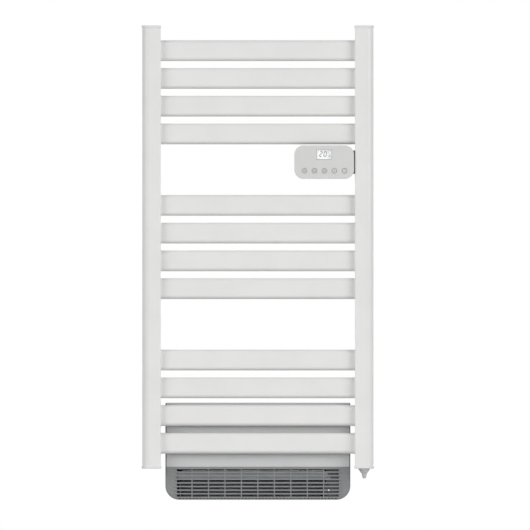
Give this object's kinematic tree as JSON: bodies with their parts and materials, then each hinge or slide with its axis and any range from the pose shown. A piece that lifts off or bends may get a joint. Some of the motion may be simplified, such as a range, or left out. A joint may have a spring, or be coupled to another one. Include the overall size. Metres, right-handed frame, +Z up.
{
  "type": "fan towel warmer",
  "caption": "Wall-hung electric towel rail with flat-oval bars between two posts, a control box with keys and display, and a fan heater behind the lowest bars.",
  "frame": {"origin": "on the wall plane, in the middle of the four wall fixings", "axes": "+Z up, +X to the right seen from the front, +Y into the wall"},
  "size_m": [0.5024, 0.1249, 1.0255],
  "materials": {
    "rail_paint": "smooth satin white powder coat",
    "white_plastic": "satin white moulded plastic",
    "pale_grey_plastic": "fine-grained pale grey moulded panel",
    "dark_grey_plastic": "fine-grained dark grey moulded plastic",
    "grey_plastic": "satin light grey moulded plastic",
    "seal_rubber": "light grey moulded rubber",
    "screw_steel": "bright zinc-plated steel",
    "sheet_steel": "weathered galvanised sheet steel",
    "shaft_steel": "ground steel",
    "lens": "clear flush window",
    "display_plastic": "pale display face with dark segments",
    "circuit_board": "green solder-masked board",
    "black_plastic": "black moulded plastic",
    "cable_sheath": "grey silicone sheath",
    "coated_fins": "grey heat-proof coat on aluminium fins",
    "aluminium": "plain rolled aluminium",
    "dark_sheet": "dark phosphated sheet steel",
    "stator_steel": "stacked steel laminations",
    "coil_copper": "enamelled copper winding under clear tape",
    "bush_bronze": "sintered bronze"
  },
  "bodies": {
    "root": {"left_post": "rail_paint", "right_post": "rail_paint", "bar_01": "rail_paint", "bar_02": "rail_paint", "bar_03": "rail_paint", "bar_04": "rail_paint", "bar_05": "rail_paint", "bar_06": "rail_paint", "bar_07": "rail_paint", "bar_08": "rail_paint", "bar_09": "rail_paint", "bar_10": "rail_paint", "bar_11": "rail_paint", "bar_12": "rail_paint", "wall_stems": "rail_paint", "wall_feet": "rail_paint", "top_cap_left": "white_plastic", "top_cap_right": "white_plastic", "bottom_cap_left": "white_plastic", "bottom_cap_right": "white_plastic", "control_face": "white_plastic", "gland_seal": "seal_rubber", "gland_body": "grey_plastic", "gland_dome_nut": "grey_plastic", "gland_locknut": "grey_plastic", "front_panel": "pale_grey_plastic", "control_housing": "dark_grey_plastic", "control_neck": "dark_grey_plastic", "fan_case": "dark_grey_plastic", "outlet_grille": "dark_grey_plastic", "bar_spacers": "dark_grey_plastic", "bracket_screws": "screw_steel", "control_screws": "screw_steel", "bar_screws": "screw_steel", "fan_screws": "screw_steel", "blower_tongue": "sheet_steel", "blower_scroll": "dark_sheet", "blower_end_left": "dark_sheet", "blower_end_right": "dark_sheet", "display_window": "lens", "display_module": "display_plastic", "control_board": "circuit_board", "key_switches": "black_plastic", "board_components": "black_plastic", "thermal_cutout": "black_plastic", "heating_cables": "cable_sheath", "fan_lead": "cable_sheath", "heating_element": "coated_fins", "motor_stator": "stator_steel", "motor_coil": "coil_copper", "fan_bushes": "bush_bronze"},
    "fan_rotor": {"impeller": "aluminium", "fan_shaft": "shaft_steel", "motor_rotor": "stator_steel"},
    "filter": {"dust_filter": "dark_grey_plastic"},
    "key_power_body": {"key_power": "white_plastic"},
    "key_mode_body": {"key_mode": "white_plastic"},
    "key_timer_body": {"key_timer": "white_plastic"},
    "key_plus_body": {"key_plus": "white_plastic"},
    "key_minus_body": {"key_minus": "white_plastic"}
  },
  "joints": [
    {"name": "fan_spin", "type": "hinge", "parent": "root", "child": "fan_rotor", "pos_m": [0, -0.04, -0.5238], "axis": [1, 0, 0], "continuous": true},
    {"name": "press_power", "type": "slide", "parent": "root", "child": "key_power_body", "axis": [0, 1, 0], "range_m": [0, 0.0006], "stiffness_N_per_m": 400},
    {"name": "press_mode", "type": "slide", "parent": "root", "child": "key_mode_body", "axis": [0, 1, 0], "range_m": [0, 0.0006], "stiffness_N_per_m": 400},
    {"name": "press_timer", "type": "slide", "parent": "root", "child": "key_timer_body", "axis": [0, 1, 0], "range_m": [0, 0.0006], "stiffness_N_per_m": 400},
    {"name": "press_plus", "type": "slide", "parent": "root", "child": "key_plus_body", "axis": [0, 1, 0], "range_m": [0, 0.0006], "stiffness_N_per_m": 400},
    {"name": "press_minus", "type": "slide", "parent": "root", "child": "key_minus_body", "axis": [0, 1, 0], "range_m": [0, 0.0006], "stiffness_N_per_m": 400},
    {"name": "filter_slide", "type": "slide", "parent": "root", "child": "filter", "axis": [-1, 0, 0], "range_m": [0, 0.25]}
  ]
}
